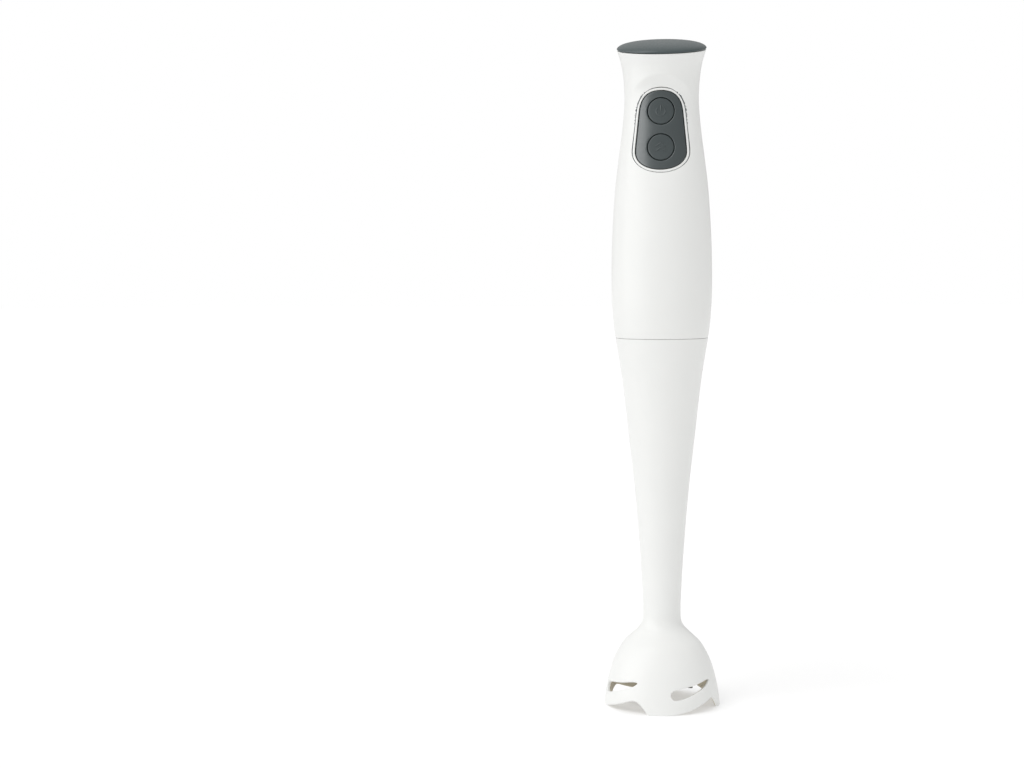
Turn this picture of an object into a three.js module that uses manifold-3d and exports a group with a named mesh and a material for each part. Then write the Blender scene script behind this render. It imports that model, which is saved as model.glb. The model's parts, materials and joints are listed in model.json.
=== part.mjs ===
// Hand-held immersion blender: a motor unit with two buttons, twist-locked onto a
// blending shaft that ends in a slotted bell guard over a two-wing blade.
// Millimetres, +Z up. The origin is on the floor, on the blender's axis, under the
// four feet of the guard. The buttons face -Y.
import * as THREE from 'three';
import { mergeVertices } from 'three/addons/utils/BufferGeometryUtils.js';
import Module from 'manifold-3d';

const wasm = await Module();
wasm.setup();

// ---------------------------------------------------------------- driving dimensions
const GAP = 0.3; // between pieces that touch
const RUN = 0.2; // radial clearance of a turning or sliding piece
const WALL = 2.4; // moulded plastic shells
const SHELL_SIDES = 32; // facets round the large shells
const INNER_SIDES = 24; // facets round the larger pieces inside them
const ROUND_SIDES = 14; // facets round the small pieces

const SEAM_Z = 208; // joint between motor unit and blending shaft
const RIM_Z = 368; // mean height of the shells' top edge
const CROWN_Z = 373.4; // top of the cap on the axis
const LEAN_START_Z = 340; // above this the top edge starts to lean
const LEAN = Math.tan(THREE.MathUtils.degToRad(11.3)); // the rim is lower over the buttons

// Outlines as [radius, height] of the points that their smooth curves pass through.
const HANDLE_OUTLINE = [
  [25.9, 208.3], [26.9, 215], [27.8, 227], [28.1, 243], [27.6, 265], [26.1, 289],
  [24.2, 306], [22.0, 323], [20.7, 338], [21.0, 350], [22.4, 360], [24.7, 368],
];
const TUBE_OUTLINE = [
  [10.6, 53], [10.8, 62], [12.3, 87.3], [15.1, 121.5], [18.5, 152], [22.0, 182.7], [25.8, 207.7],
];
const BELL_OUTLINE = [
  [32.8, 0], [31.8, 8], [30.4, 15], [28.3, 22.5], [25.4, 29.2], [21.7, 35.2], [16.9, 39.9],
  [12.6, 44.2], [10.9, 48], [10.6, 53],
];

// Buttons and the panel round them
const SPEED_Z = 333;
const TURBO_Z = 313.2;
const BUTTON_R = 7.1;
const BUTTON_TRAVEL = 2;
const PANEL_SINK = 1.1; // panel face below the shell's outline
const PANEL_T = 2.2;
const BEZEL_W = 1.4;
const BEZEL_DEPTH = [0.5, 3.6]; // front and back of the trim ring below the shell's outline
const PANEL_STEP = 8; // first step of the handle's outline behind the panel
const PLUNGER_TIP_Y = -10;
const SWITCH_FACE_Y = -9;

// Twist lock between the spigot of the motor unit and the cup in the shaft
const SPIGOT_R = 16.5;
const SPIGOT_BOTTOM_Z = 190;
const LUG_R = 18.3;
const LUG_Z = [193, 197];
const LUG_HALF = 7; // degrees
const LOCK_TURN = 30; // degrees from the open mark to the locked mark
const CUP_FLOOR_Z = [184.5, 187.5];

// Drive line
const SHAFT_R = 2.5;
const SHAFT_FIT = SHAFT_R + 0.15; // bore of what is fixed on a shaft
const BUSH_R = 5;
const DOG_R = 11;
const JAW_R = 6.5;
const JAW_HALF = 12; // degrees
const JAWS = 3;
const DRIVE_LEAD = 25; // degrees by which a drive jaw stands ahead of its driven jaw
const MOTOR_R = 19.2;
const CAN_Z = [230.5, 279];
const END_CAP_Z = [279.3, 300];
const COLLAR_SCREW_R = 18.9;
const COLLAR_SCREW_ANGLES = [30, 150, 270];
const COIL_SLOTS = 10;
const CORE_Z = [242, 266];
const MAGNET_Z = [240, 268];
const FAN_VANES = 9;
const FAN_Z = [217, 223];
const BRUSH_Z = 286; // middle of the brushes and their holders

// Electrics above the motor
const GLAND_Z = 345; // where the supply cord passes through the rear shell
const CLAMP_SCREW_X = 8;
const BOARD_Y = [-3, -1.4];

// Guard feet and slots, one set per quarter turn; azimuth in degrees from the front,
// growing towards +X
const QUARTERS = 4;
const GUARD_TURN = 1.25; // degrees from the buttons' side to the start of the first quarter
const NOTCH_EDGE = [
  [10, 0], [19, 0.9], [28, 1.9], [38, 3.3], [48, 5.1], [55, 6.4], [61, 7], [66, 6], [71, 3.4],
  [76, 0],
];
const SLOT_TOP = [[9.2, 10.8], [11, 13], [17.4, 14], [39, 15.6], [53, 16.9], [60, 17.2]];
const SLOT_BOTTOM = [[63, 16.8], [57, 14.6], [47, 12.7], [33.5, 10.5], [22, 8.8], [13, 8.4]];
const BLADE_R = 22;
const BLADE_Z = 13.4;
const BLADE_AZIMUTH = 52;

// ---------------------------------------------------------------- materials
const finish = (color, roughness, metalness) =>
  new THREE.MeshStandardMaterial({ color, roughness, metalness });
const WHITE = finish('#f1f1ee', 0.3, 0);
const GREY = finish('#4d5a5c', 0.45, 0);
const BLACK_PLASTIC = finish('#2b2d2e', 0.5, 0);
const NATURAL_PLASTIC = finish('#d9d4c4', 0.5, 0);
const RUBBER = finish('#232425', 0.8, 0);
const STEEL = finish('#b9bcbf', 0.3, 1);
const ZINC = finish('#9fa3a6', 0.45, 1);
const BRONZE = finish('#a77b4a', 0.5, 1);
const COPPER = finish('#b8673a', 0.35, 1);
const FERRITE = finish('#3a3b3d', 0.7, 0.2);
const CARBON = finish('#2f2f31', 0.6, 0.1);
const BOARD_GREEN = finish('#2f6b45', 0.5, 0);
const YELLOW = finish('#d8b23a', 0.45, 0);
const RED = finish('#b0302a', 0.5, 0);

// ---------------------------------------------------------------- solids
/** A manifold solid from a closed geometry; triangles with no area are dropped. */
function solid(geometry) {
  const bare = geometry.clone();
  bare.deleteAttribute('normal');
  bare.deleteAttribute('uv');
  const merged = mergeVertices(bare, 1e-4);
  const corners = [];
  for (let i = 0; i < merged.index.count; i += 3) {
    const [a, b, c] = [0, 1, 2].map((k) => merged.index.getX(i + k));
    if (a !== b && b !== c && c !== a) corners.push(a, b, c);
  }
  return new wasm.Manifold(new wasm.Mesh({
    numProp: 3,
    vertProperties: new Float32Array(merged.attributes.position.array),
    triVerts: new Uint32Array(corners),
  }));
}

function geometryOf(body) {
  const mesh = body.getMesh();
  const geometry = new THREE.BufferGeometry();
  geometry.setAttribute('position', new THREE.BufferAttribute(mesh.vertProperties, 3));
  geometry.setIndex(new THREE.BufferAttribute(mesh.triVerts, 1));
  geometry.computeVertexNormals();
  return geometry;
}

/** Turns [radius, height] points about Z. They run up the outside and down the inside. */
function turned(points, sides = ROUND_SIDES) {
  const profile = points.map(([r, z]) => new THREE.Vector2(r, z));
  return solid(new THREE.LatheGeometry(profile, sides).rotateX(Math.PI / 2));
}

/** A ring or disc of one rectangular section. */
function ring(rIn, rOut, z0, z1, sides = ROUND_SIDES) {
  const section = [[rIn, z0], [rOut, z0], [rOut, z1], [rIn, z1]];
  return turned(rIn > 0 ? [...section, section[0]] : section, sides);
}

function box(x0, x1, y0, y1, z0, z1) {
  const geometry = new THREE.BoxGeometry(x1 - x0, y1 - y0, z1 - z0);
  return solid(geometry.translate((x0 + x1) / 2, (y0 + y1) / 2, (z0 + z1) / 2));
}

const rad = THREE.MathUtils.degToRad;

/** A sector of a ring, its middle at `middle` degrees from +X. */
function sector(rIn, rOut, middle, half, z0, z1) {
  const [a0, a1] = [rad(middle - half), rad(middle + half)];
  const shape = new THREE.Shape();
  shape.absarc(0, 0, rOut, a0, a1, false);
  shape.absarc(0, 0, rIn, a1, a0, true);
  const steps = Math.max(3, Math.ceil(half / 7));
  const options = { depth: z1 - z0, bevelEnabled: false, curveSegments: steps };
  return solid(new THREE.ExtrudeGeometry(shape, options).translate(0, 0, z0));
}

/** A shape drawn in X and Z, pushed through from y0 to y1. */
function frontPrism(shape, y0, y1, curveSegments = 8) {
  const options = { depth: y1 - y0, bevelEnabled: false, curveSegments };
  return solid(new THREE.ExtrudeGeometry(shape, options).rotateX(Math.PI / 2).translate(0, y1, 0));
}

/** A cylinder along Y, from y0 to y1, round the line x, z. */
function frontRod(r, x, z, y0, y1, sides = ROUND_SIDES) {
  const rod = new THREE.CylinderGeometry(r, r, y1 - y0, sides);
  return solid(rod.translate(x, (y0 + y1) / 2, z));
}

/** A round wire of six sides along a curve. */
function wire(curve, r, steps) {
  const section = new THREE.Shape();
  section.absarc(0, 0, r, 0, 2 * Math.PI, false);
  const options = { steps, extrudePath: curve, bevelEnabled: false, curveSegments: 3 };
  return solid(new THREE.ExtrudeGeometry(section, options));
}

const turnZ = (body, degrees) => body.rotate([0, 0, degrees]);
const joined = (...bodies) => bodies.reduce((all, next) => all.add(next));
const repeated = (count, make) => Array.from({ length: count }, (_, i) => make(i));

// ---------------------------------------------------------------- outlines
/** The points of a smooth outline, in steps of equal length. */
function outlinePoints(keys, steps) {
  const curve = new THREE.SplineCurve(keys.map(([r, z]) => new THREE.Vector2(r, z)));
  return curve.getSpacedPoints(steps).map((p) => [p.x, p.y]);
}

const HANDLE = outlinePoints(HANDLE_OUTLINE, 14);
const TUBE = outlinePoints(TUBE_OUTLINE, 6);
const BELL = outlinePoints(BELL_OUTLINE, 8);

/** The radius at height z of an outline whose points run upwards. */
function radiusAt(outline, z) {
  const next = outline.findIndex(([, height]) => height > z);
  if (next < 1) return outline[next < 0 ? outline.length - 1 : 0][0];
  const [[r0, z0], [r1, z1]] = [outline[next - 1], outline[next]];
  return r0 + ((r1 - r0) * (z - z0)) / (z1 - z0);
}

/** A lathe shell that follows the handle, from one of its steps up, between two depths. */
function handleLayer(outerDepth, innerDepth, fromStep = 0) {
  const part = HANDLE.slice(fromStep);
  const outer = part.map(([r, z]) => [r - outerDepth, z]);
  const everySecond = part.filter((_, i) => i % 2 === 0);
  const inner = everySecond.map(([r, z]) => [r - innerDepth, z]).reverse();
  return turned([...outer, ...inner, outer[0]], SHELL_SIDES);
}

/** Leans everything above LEAN_START_Z so that the rim drops towards the front. */
function leaned(body) {
  return body.warp((v) => {
    const t = THREE.MathUtils.smoothstep(v[2], LEAN_START_Z, RIM_Z);
    v[2] += t * LEAN * v[1];
  });
}

/** The button panel's outline, grown by `grow` all round: an egg, wider at the foot. */
function panelShape(grow) {
  const [top, shoulder, hip, foot] = [344.3, 333, 311, 300.8];
  const [narrow, wide] = [12.05 + grow, 14.3 + grow];
  const shape = new THREE.Shape();
  shape.moveTo(0, top + grow);
  shape.bezierCurveTo(narrow * 0.68, top + grow, narrow * 0.94, shoulder + 7.3, narrow, shoulder);
  shape.lineTo(wide, hip);
  shape.bezierCurveTo(wide + 0.2, hip - 6, wide * 0.68, foot - grow, 0, foot - grow);
  shape.bezierCurveTo(-wide * 0.68, foot - grow, -wide - 0.2, hip - 6, -wide, hip);
  shape.lineTo(-narrow, shoulder);
  shape.bezierCurveTo(-narrow * 0.94, shoulder + 7.3, -narrow * 0.68, top + grow, 0, top + grow);
  return shape;
}

/** A radial cutter for the guard from [azimuth, height] points, for one quarter. */
function guardCutter(points, quarter) {
  const azimuths = points.map(([azimuth]) => azimuth);
  const middle = (Math.min(...azimuths) + Math.max(...azimuths)) / 2;
  const shape = new THREE.Shape(points.map(([azimuth, z]) =>
    new THREE.Vector2(radiusAt(BELL, z) * Math.sin(rad(azimuth - middle)), z)));
  return turnZ(frontPrism(shape, -40, -20), middle + GUARD_TURN + (quarter * 360) / QUARTERS);
}

// ---------------------------------------------------------------- blending shaft
function shaftHousing() {
  const [bossR, bossBottom, ceiling] = [9, 24, 39.4];
  const [sealR, sealTop, tubeFloor] = [7, 36, 53];
  const [cupR, cupSeat, ledge, mouthR, mouth] = [20.7, 188, 184.2, 23.5, 205.2];
  const bushR = BUSH_R + GAP;
  const bellInside = [
    [bossR, ceiling], [14.4, 37.6], [19.2, 33.4], [23, 28], [26.5, 21], [28.9, 12], [30.4, 0],
  ];
  const tubeInside = [[18.6, ledge], [18.7, 174], [14.4, 135], [10.4, 92], [8.3, tubeFloor]];
  const body = turned([
    ...BELL.slice(0, -1), ...TUBE, [mouthR, SEAM_Z - GAP], [mouthR, mouth], [cupR, mouth],
    [cupR, cupSeat], ...tubeInside, [bushR, tubeFloor], [bushR, sealTop], [sealR, sealTop],
    [sealR, bossBottom], [bossR, bossBottom], ...bellInside, BELL[0],
  ], SHELL_SIDES);
  const [notchStart, notchEnd] = [NOTCH_EDGE[0][0], NOTCH_EDGE.at(-1)[0]];
  const cuts = repeated(QUARTERS, (quarter) => joined(
    guardCutter([[notchStart, -1], ...NOTCH_EDGE, [notchEnd, -1]], quarter),
    guardCutter([...SLOT_TOP, ...SLOT_BOTTOM], quarter),
  ));
  return body.subtract(joined(...cuts));
}

/** The cup that the spigot locks into, with three open channels and a lock groove. */
function socketCup() {
  const bore = SPIGOT_R + 0.45;
  const grooveR = LUG_R + 0.4;
  const [bossBottom, outerR, flangeZ, top] = [176, 20.3, 205.5, 207.7];
  const cup = turned([
    [BUSH_R + GAP, bossBottom], [8, bossBottom], [8, CUP_FLOOR_Z[0]], [18.2, CUP_FLOOR_Z[0]],
    [outerR, 188.5], [outerR, flangeZ], [23.2, flangeZ], [23.2, top], [bore, top],
    [bore, CUP_FLOOR_Z[1]], [BUSH_R + GAP, CUP_FLOOR_Z[1]], [BUSH_R + GAP, bossBottom],
  ], INNER_SIDES);
  const half = LUG_HALF + 2;
  const channels = lugAngles().map((angle) => joined(
    sector(bore - 1, grooveR, angle, half, LUG_Z[0] - 0.7, top + 1),
    sector(bore - 1, grooveR, angle + LOCK_TURN / 2, half + LOCK_TURN / 2,
      LUG_Z[0] - 0.7, LUG_Z[1] + 0.5),
  ));
  return cup.subtract(joined(...channels));
}

const lugAngles = () => repeated(3, (i) => 90 + i * 120);

const bush = (z0, z1) => ring(SHAFT_R + RUN, BUSH_R, z0, z1);

/** Lip seal: a rubber collar whose lip narrows towards the spindle. */
function lipSeal() {
  return turned([
    [3.6, 27], [6.7, 27], [6.7, 35.7], [4.4, 35.7], [2.75, 33.5], [2.75, 32.3], [3.6, 31], [3.6, 27],
  ]);
}

// ---------------------------------------------------------------- spindle and blade
function driveSpindle() {
  const [clipZ, grooveR] = [174.3, 1.9];
  return turned([
    [0, 10.3], [2.1, 10.3], [SHAFT_R, 10.9], [SHAFT_R, clipZ], [grooveR, clipZ],
    [grooveR, clipZ + 1.4], [SHAFT_R, clipZ + 1.4], [SHAFT_R, 193], [2.1, 193.5], [0, 193.5],
  ]);
}

/** A snap ring with a mouth that lets it onto the spindle from the side. */
const spindleClip = () => ring(2.1, 4.2, 174.5, 175.5).subtract(box(0, 6, -1.6, 1.6, 173, 177));

/** A coupling half: a disc, its jaws, and a hub on the shaft. */
function dog(discZ, jawZ, hubZ, hubR, firstJaw) {
  const disc = ring(SHAFT_FIT, DOG_R, ...discZ);
  const hub = ring(SHAFT_FIT, hubR, ...hubZ);
  const jaws = repeated(JAWS, (i) =>
    sector(JAW_R, DOG_R, firstJaw + (i * 360) / JAWS, JAW_HALF, ...jawZ));
  return joined(disc, hub, ...jaws);
}

const drivenDog = () => dog([188, 191], [190.5, 197.4], [190.5, 192.6], 4.6, 0);
const driveDog = () => dog([198, 201], [191.8, 198.5], [200.5, 206.5], 5.5, DRIVE_LEAD);

/** One wing, swept back along its edge, tilted by `tilt` degrees about its root. */
function bladeWing(tilt) {
  const shape = new THREE.Shape();
  shape.moveTo(3, -5.2);
  shape.quadraticCurveTo(14, -5.4, BLADE_R - 1.5, -1.6);
  shape.quadraticCurveTo(BLADE_R, 0.4, BLADE_R - 1.6, 2.4);
  shape.quadraticCurveTo(12, 3.6, 3, 5.2);
  const options = { depth: 1.2, bevelEnabled: false, curveSegments: 5 };
  const wing = new THREE.ExtrudeGeometry(shape, options).translate(-6, 0, 0);
  return solid(wing.rotateY(rad(-tilt)).translate(6, 0, BLADE_Z));
}

function blade() {
  const plate = ring(0, 6.2, BLADE_Z, BLADE_Z + 1.2);
  const wings = joined(bladeWing(-6), turnZ(bladeWing(12), 180));
  const spindleHole = ring(0, SHAFT_FIT, BLADE_Z - 3, BLADE_Z + 4);
  const flat = joined(plate, wings).subtract(spindleHole);
  return turnZ(flat, BLADE_AZIMUTH - 90);
}

const bladeHub = () => turned([
  [SHAFT_FIT, 15.4], [5.4, 15.4], [5.4, 18.5], [4.4, 22.6], [SHAFT_FIT, 22.6],
  [SHAFT_FIT, 15.4],
]);

const bladeNut = () => ring(0, 4.3, 9.9, 12.4, 6).subtract(ring(0, SHAFT_FIT, 9, 13));

// ---------------------------------------------------------------- motor unit: casings
function shellHalf(front) {
  const half = front ? box(-40, 40, -40, -0.15, 200, 400) : box(-40, 40, 0.15, 40, 200, 400);
  return leaned(handleLayer(0, WALL)).intersect(half);
}

function frontShell() {
  return shellHalf(true).subtract(frontPrism(panelShape(BEZEL_W + 2 * GAP), -40, -5));
}

const rearShell = () => shellHalf(false).subtract(frontRod(4.5, 0, GLAND_Z, 10, 30));

/** The cap: a domed lid whose skirt plugs into the shells. */
function topCap() {
  const [edge, skirtOut, skirtIn] = [24.9, 19.5, 17.6];
  const domeSteps = 5;
  const dome = repeated(domeSteps + 1, (i) => {
    const t = (i / domeSteps) * (Math.PI / 2);
    return [edge * Math.cos(t) ** 0.72, RIM_Z + 0.8 + (CROWN_Z - RIM_Z - 0.8) * Math.sin(t)];
  });
  dome[domeSteps][0] = 0;
  return leaned(turned([
    [0, 370.4], [14, 369.4], [skirtIn, 368.2], [skirtIn, 361], [skirtOut, 361],
    [skirtOut, RIM_Z + GAP], [edge - 0.5, RIM_Z + GAP], ...dome,
  ], SHELL_SIDES));
}

/** The white trim ring round the button panel. */
function buttonBezel() {
  const outline = frontPrism(panelShape(BEZEL_W + GAP), -40, -5);
  const inside = frontPrism(panelShape(GAP), -41, -4);
  return handleLayer(BEZEL_DEPTH[0], BEZEL_DEPTH[1], PANEL_STEP).intersect(outline.subtract(inside));
}

function switchPanel() {
  const outline = frontPrism(panelShape(0), -40, -5);
  const holes = [SPEED_Z, TURBO_Z].map((z) => frontRod(BUTTON_R + 0.4, 0, z, -40, 0));
  return handleLayer(PANEL_SINK, PANEL_SINK + PANEL_T, PANEL_STEP).intersect(outline)
    .subtract(joined(...holes));
}

/** The panel's inside face on the centre line, where a button's flange stops. */
const flangeFront = (z) => -(radiusAt(HANDLE, z + BUTTON_R) - PANEL_SINK - PANEL_T) + 2.7;

/** A push button: a round cap, a flange behind the panel and a stem to the switch. */
function pushButton(z) {
  const capDepth = 14; // past the flange, so that the cap reaches it
  const flange = flangeFront(z);
  const stemEnd = PLUNGER_TIP_Y - BUTTON_TRAVEL - GAP;
  const cap = frontRod(BUTTON_R, 0, z, -40, flange + 0.5)
    .intersect(handleLayer(PANEL_SINK + GAP, capDepth, PANEL_STEP));
  return joined(cap, frontRod(8.3, 0, z, flange, flange + 1), frontRod(2.2, 0, z, flange, stemEnd));
}

/** The return spring between a button's flange and its switch. */
function returnSpring(z) {
  const [turns, perTurn, coilR, wireR] = [4, 9, 3.7, 0.35];
  const front = flangeFront(z) + 1 + GAP + wireR;
  const back = SWITCH_FACE_Y - GAP - wireR;
  const steps = turns * perTurn;
  const points = repeated(steps + 1, (i) => {
    const angle = (i * 2 * Math.PI) / perTurn;
    const y = front + ((back - front) * i) / steps;
    return new THREE.Vector3(coilR * Math.cos(angle), y, z + coilR * Math.sin(angle));
  });
  return wire(new THREE.CatmullRomCurve3(points), wireR, steps);
}

// ---------------------------------------------------------------- motor unit: base
/** The floor of the motor unit, with the spigot, its lugs and the O-ring's groove. */
function baseCollar() {
  const [spigotIn, floorZ, floorTop, rimR, bossTop] = [13, 208.3, 211.5, 23.1, 216];
  const [grooveR, grooveZ] = [14.9, [202.1, 204.9]];
  const body = turned([
    [spigotIn, SPIGOT_BOTTOM_Z], [SPIGOT_R, SPIGOT_BOTTOM_Z], [SPIGOT_R, grooveZ[0]],
    [grooveR, grooveZ[0]], [grooveR, grooveZ[1]], [SPIGOT_R, grooveZ[1]], [SPIGOT_R, floorZ],
    [rimR, floorZ], [rimR, 217], [rimR - 1.4, 217], [rimR - 1.4, floorTop], [8, floorTop],
    [8, bossTop], [BUSH_R + GAP, bossTop], [BUSH_R + GAP, floorZ], [spigotIn, floorZ],
    [spigotIn, SPIGOT_BOTTOM_Z],
  ], INNER_SIDES);
  const lugs = lugAngles().map((angle) =>
    sector(SPIGOT_R - 0.8, LUG_R, angle, LUG_HALF, ...LUG_Z));
  return joined(body, ...lugs).subtract(joined(...COLLAR_SCREW_ANGLES.map((angle) => joined(
    screwPost(angle, 2.35, floorZ - 1, 210.2), screwPost(angle, 1.7, 209, 220),
  ))));
}

function screwPost(angle, r, z0, z1) {
  const [x, y] = [COLLAR_SCREW_R * Math.cos(rad(angle)), COLLAR_SCREW_R * Math.sin(rad(angle))];
  return ring(0, r, z0, z1, 12).translate([x, y, 0]);
}

function collarScrew(angle) {
  return joined(screwPost(angle, 2.1, 208.5, 209.9), screwPost(angle, 1.4, 209.5, 226));
}

const spigotSeal = () => turned(repeated(7, (i) => {
  const t = (i / 6) * 2 * Math.PI;
  return [15.95 + 0.75 * Math.cos(t), 203.5 + 0.8 * Math.sin(t)];
}), INNER_SIDES);

/** The plate that carries the motor, on three posts that stand on the collar. */
function motorMount() {
  const plate = ring(7, 23, 226.5, 230);
  const posts = COLLAR_SCREW_ANGLES.map((angle) => screwPost(angle, 2.6, 211.8, 227));
  const pilots = COLLAR_SCREW_ANGLES.map((angle) => screwPost(angle, 1.6, 210, 226.3));
  return joined(plate, ...posts).subtract(joined(...pilots));
}

// ---------------------------------------------------------------- motor
function motorCan() {
  const [inner, bearingSeat, seatTop] = [MOTOR_R - 1.6, BUSH_R + GAP, 235.6];
  return turned([
    [bearingSeat, CAN_Z[0]], [MOTOR_R - 2, CAN_Z[0]], [MOTOR_R, CAN_Z[0] + 2], [MOTOR_R, CAN_Z[1]],
    [inner, CAN_Z[1]], [inner, 232.3], [7, 232.3], [7, seatTop], [bearingSeat, seatTop],
    [bearingSeat, CAN_Z[0]],
  ], INNER_SIDES);
}

const magnet = (angle) => sector(14, 17.2, angle, 62, ...MAGNET_Z);

function armatureCore() {
  const slots = repeated(COIL_SLOTS, (i) => coilBar(i, 1.1, 6.5, 14, ...MAGNET_Z));
  return ring(SHAFT_FIT, 13.2, ...CORE_Z, 20).subtract(joined(...slots));
}

const coilBar = (i, half, rIn, rOut, z0, z1) =>
  turnZ(box(rIn, rOut, -half, half, z0, z1), (i * 360) / COIL_SLOTS);

/** The coils: bars through the core's slots, joined by the end turns above and below. */
function armatureWindings() {
  const endTurns = (z0, z1) => turned([
    [4, z0], [10.8, z0], [12.2, z0 + 1.4], [12.2, z1 - 1.4], [10.8, z1], [4, z1], [4, z0],
  ]);
  const bars = repeated(COIL_SLOTS, (i) => coilBar(i, 0.8, 6.9, 11.8, ...MAGNET_Z));
  return joined(endTurns(236.6, 241.6), endTurns(266.4, 272.5), ...bars);
}

function commutator() {
  const grooves = repeated(COIL_SLOTS, (i) => coilBar(i, 0.25, 6.8, 9, 282.4, 292));
  const body = turned([
    [SHAFT_FIT, 280], [8.4, 280], [8.4, 282], [7.5, 282.4], [7.5, 291], [SHAFT_FIT, 291],
    [SHAFT_FIT, 280],
  ], 20);
  return body.subtract(joined(...grooves));
}

function coolingFan() {
  const [bottom, top] = FAN_Z;
  const vane = (i) => turnZ(box(4.5, 15.7, -0.6, 0.6, bottom + 1, top), (i * 360) / FAN_VANES);
  const hub = ring(SHAFT_FIT, 5, bottom, top);
  const disc = ring(SHAFT_FIT, 15.9, bottom, bottom + 1.4, INNER_SIDES);
  return joined(hub, disc, ...repeated(FAN_VANES, vane));
}

/** The plastic end cap over the commutator, with a window for each brush holder. */
function brushCap() {
  const seat = BUSH_R + GAP;
  const cap = turned([
    [16.8, END_CAP_Z[0]], [MOTOR_R, END_CAP_Z[0]], [MOTOR_R, 299], [MOTOR_R - 1, END_CAP_Z[1]],
    [seat, END_CAP_Z[1]], [seat, 293], [7.5, 293], [7.5, 297], [16.8, 297], [16.8, END_CAP_Z[0]],
  ], INNER_SIDES);
  return cap.subtract(box(-30, 30, -3.6, 3.6, BRUSH_Z - 4.1, BRUSH_Z + 4.1));
}

function brushHolder(side) {
  const [x0, x1] = side > 0 ? [9.4, 19.6] : [-19.6, -9.4];
  const sleeve = box(x0, x1, -3.3, 3.3, BRUSH_Z - 3.8, BRUSH_Z + 3.8);
  return sleeve.subtract(box(x0 - 1, x1 + 1, -2.8, 2.8, BRUSH_Z - 3.3, BRUSH_Z + 3.3));
}

function brush(side) {
  const [x0, x1] = side > 0 ? [7.8, 16] : [-16, -7.8];
  return box(x0, x1, -2.5, 2.5, BRUSH_Z - 3, BRUSH_Z + 3);
}

// ---------------------------------------------------------------- electrics
/** The frame over the motor: a ring, two rails for the board and a bridge for the cord. */
function chassis() {
  const rails = [-1, 1].map((side) => {
    const [x0, x1] = side > 0 ? [12.4, 14.8] : [-14.8, -12.4];
    return box(x0, x1, -5, 5, 302, 350);
  });
  const bridge = box(-13, 13, 2, 5, 341, 349);
  const pilots = [-1, 1].map((side) =>
    frontRod(1.2, side * CLAMP_SCREW_X, GLAND_Z, 2.5, 8, 12));
  return joined(ring(6, 17, 300.3, 303, INNER_SIDES), ...rails, bridge).subtract(joined(...pilots));
}

const switchBoard = () => box(-12, 12, ...BOARD_Y, 304, 350);

function microSwitch(z) {
  const body = box(-6.4, 6.4, SWITCH_FACE_Y, BOARD_Y[0] - GAP, z - 3.2, z + 3.2);
  return joined(body, frontRod(1.2, 0, z, PLUNGER_TIP_Y, SWITCH_FACE_Y + 1, 12));
}

const chokeCoil = () => ring(1.5, 4, 322, 336, 16).translate([4.5, 3.4, 0]);
const cordClamp = () => box(-10.5, 10.5, 8.6, 10.6, 341.5, 348.5)
  .subtract(joined(...[-1, 1].map((side) =>
    frontRod(1.4, side * CLAMP_SCREW_X, GLAND_Z, 8, 12, 12))));
const cordClampScrew = (x) =>
  joined(frontRod(2.5, x, GLAND_Z, 10.9, 12.3, 12), frontRod(1, x, GLAND_Z, 2.8, 11.2, 12));

/** The bush in the rear shell that the supply cord passes through. */
function cordGland() {
  const profile = [
    [3.3, 14.6], [6, 14.6], [6, 17.0], [4.2, 17.0], [4.2, 21.2], [5.3, 21.2], [4.9, 24.4],
    [3.3, 24.4], [3.3, 14.6],
  ];
  return turned(profile).rotate([-90, 0, 0]).translate([0, 0, GLAND_Z]);
}

/** A lead from a brush holder up to the back of the board. */
function motorLead(side) {
  const route = [
    [20.6, 0, 288.5], [20.8, 1.5, 294], [19.6, 4.5, 301], [16.5, 8, 309], [11.5, 8.8, 317],
    [10, 6, 321.5], [10, 0, 322.5],
  ];
  const points = route.map(([x, y, z]) => new THREE.Vector3(side * x, y, z));
  return wire(new THREE.CatmullRomCurve3(points), 0.75, 16);
}

// ---------------------------------------------------------------- assembly
const blender = new THREE.Group();

function piece(name, body, material) {
  const mesh = new THREE.Mesh(geometryOf(body), material);
  mesh.name = name;
  blender.add(mesh);
}

piece('shaft_housing', shaftHousing(), WHITE);
piece('socket_cup', socketCup(), NATURAL_PLASTIC);
piece('upper_bush', bush(176.4, 187.2), BRONZE);
piece('lower_bush', bush(36.3, 52.6), BRONZE);
piece('lip_seal', lipSeal(), RUBBER);
piece('seal_retainer', ring(3.2, 6.7, 24.4, 26.7), STEEL);

piece('drive_spindle', driveSpindle(), STEEL);
piece('spindle_clip', spindleClip(), STEEL);
piece('driven_dog', drivenDog(), BLACK_PLASTIC);
piece('blade', blade(), STEEL);
piece('blade_hub', bladeHub(), BLACK_PLASTIC);
piece('blade_nut', bladeNut(), STEEL);

piece('spigot_seal', spigotSeal(), RUBBER);

piece('front_shell', frontShell(), WHITE);
piece('rear_shell', rearShell(), WHITE);
piece('top_cap', topCap(), GREY);
piece('button_bezel', buttonBezel(), WHITE);
piece('switch_panel', switchPanel(), GREY);
piece('base_collar', baseCollar(), WHITE);
piece('base_bush', bush(208.6, 215.7), BRONZE);
COLLAR_SCREW_ANGLES.forEach((angle, i) => piece(`collar_screw_${i + 1}`, collarScrew(angle), ZINC));

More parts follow.
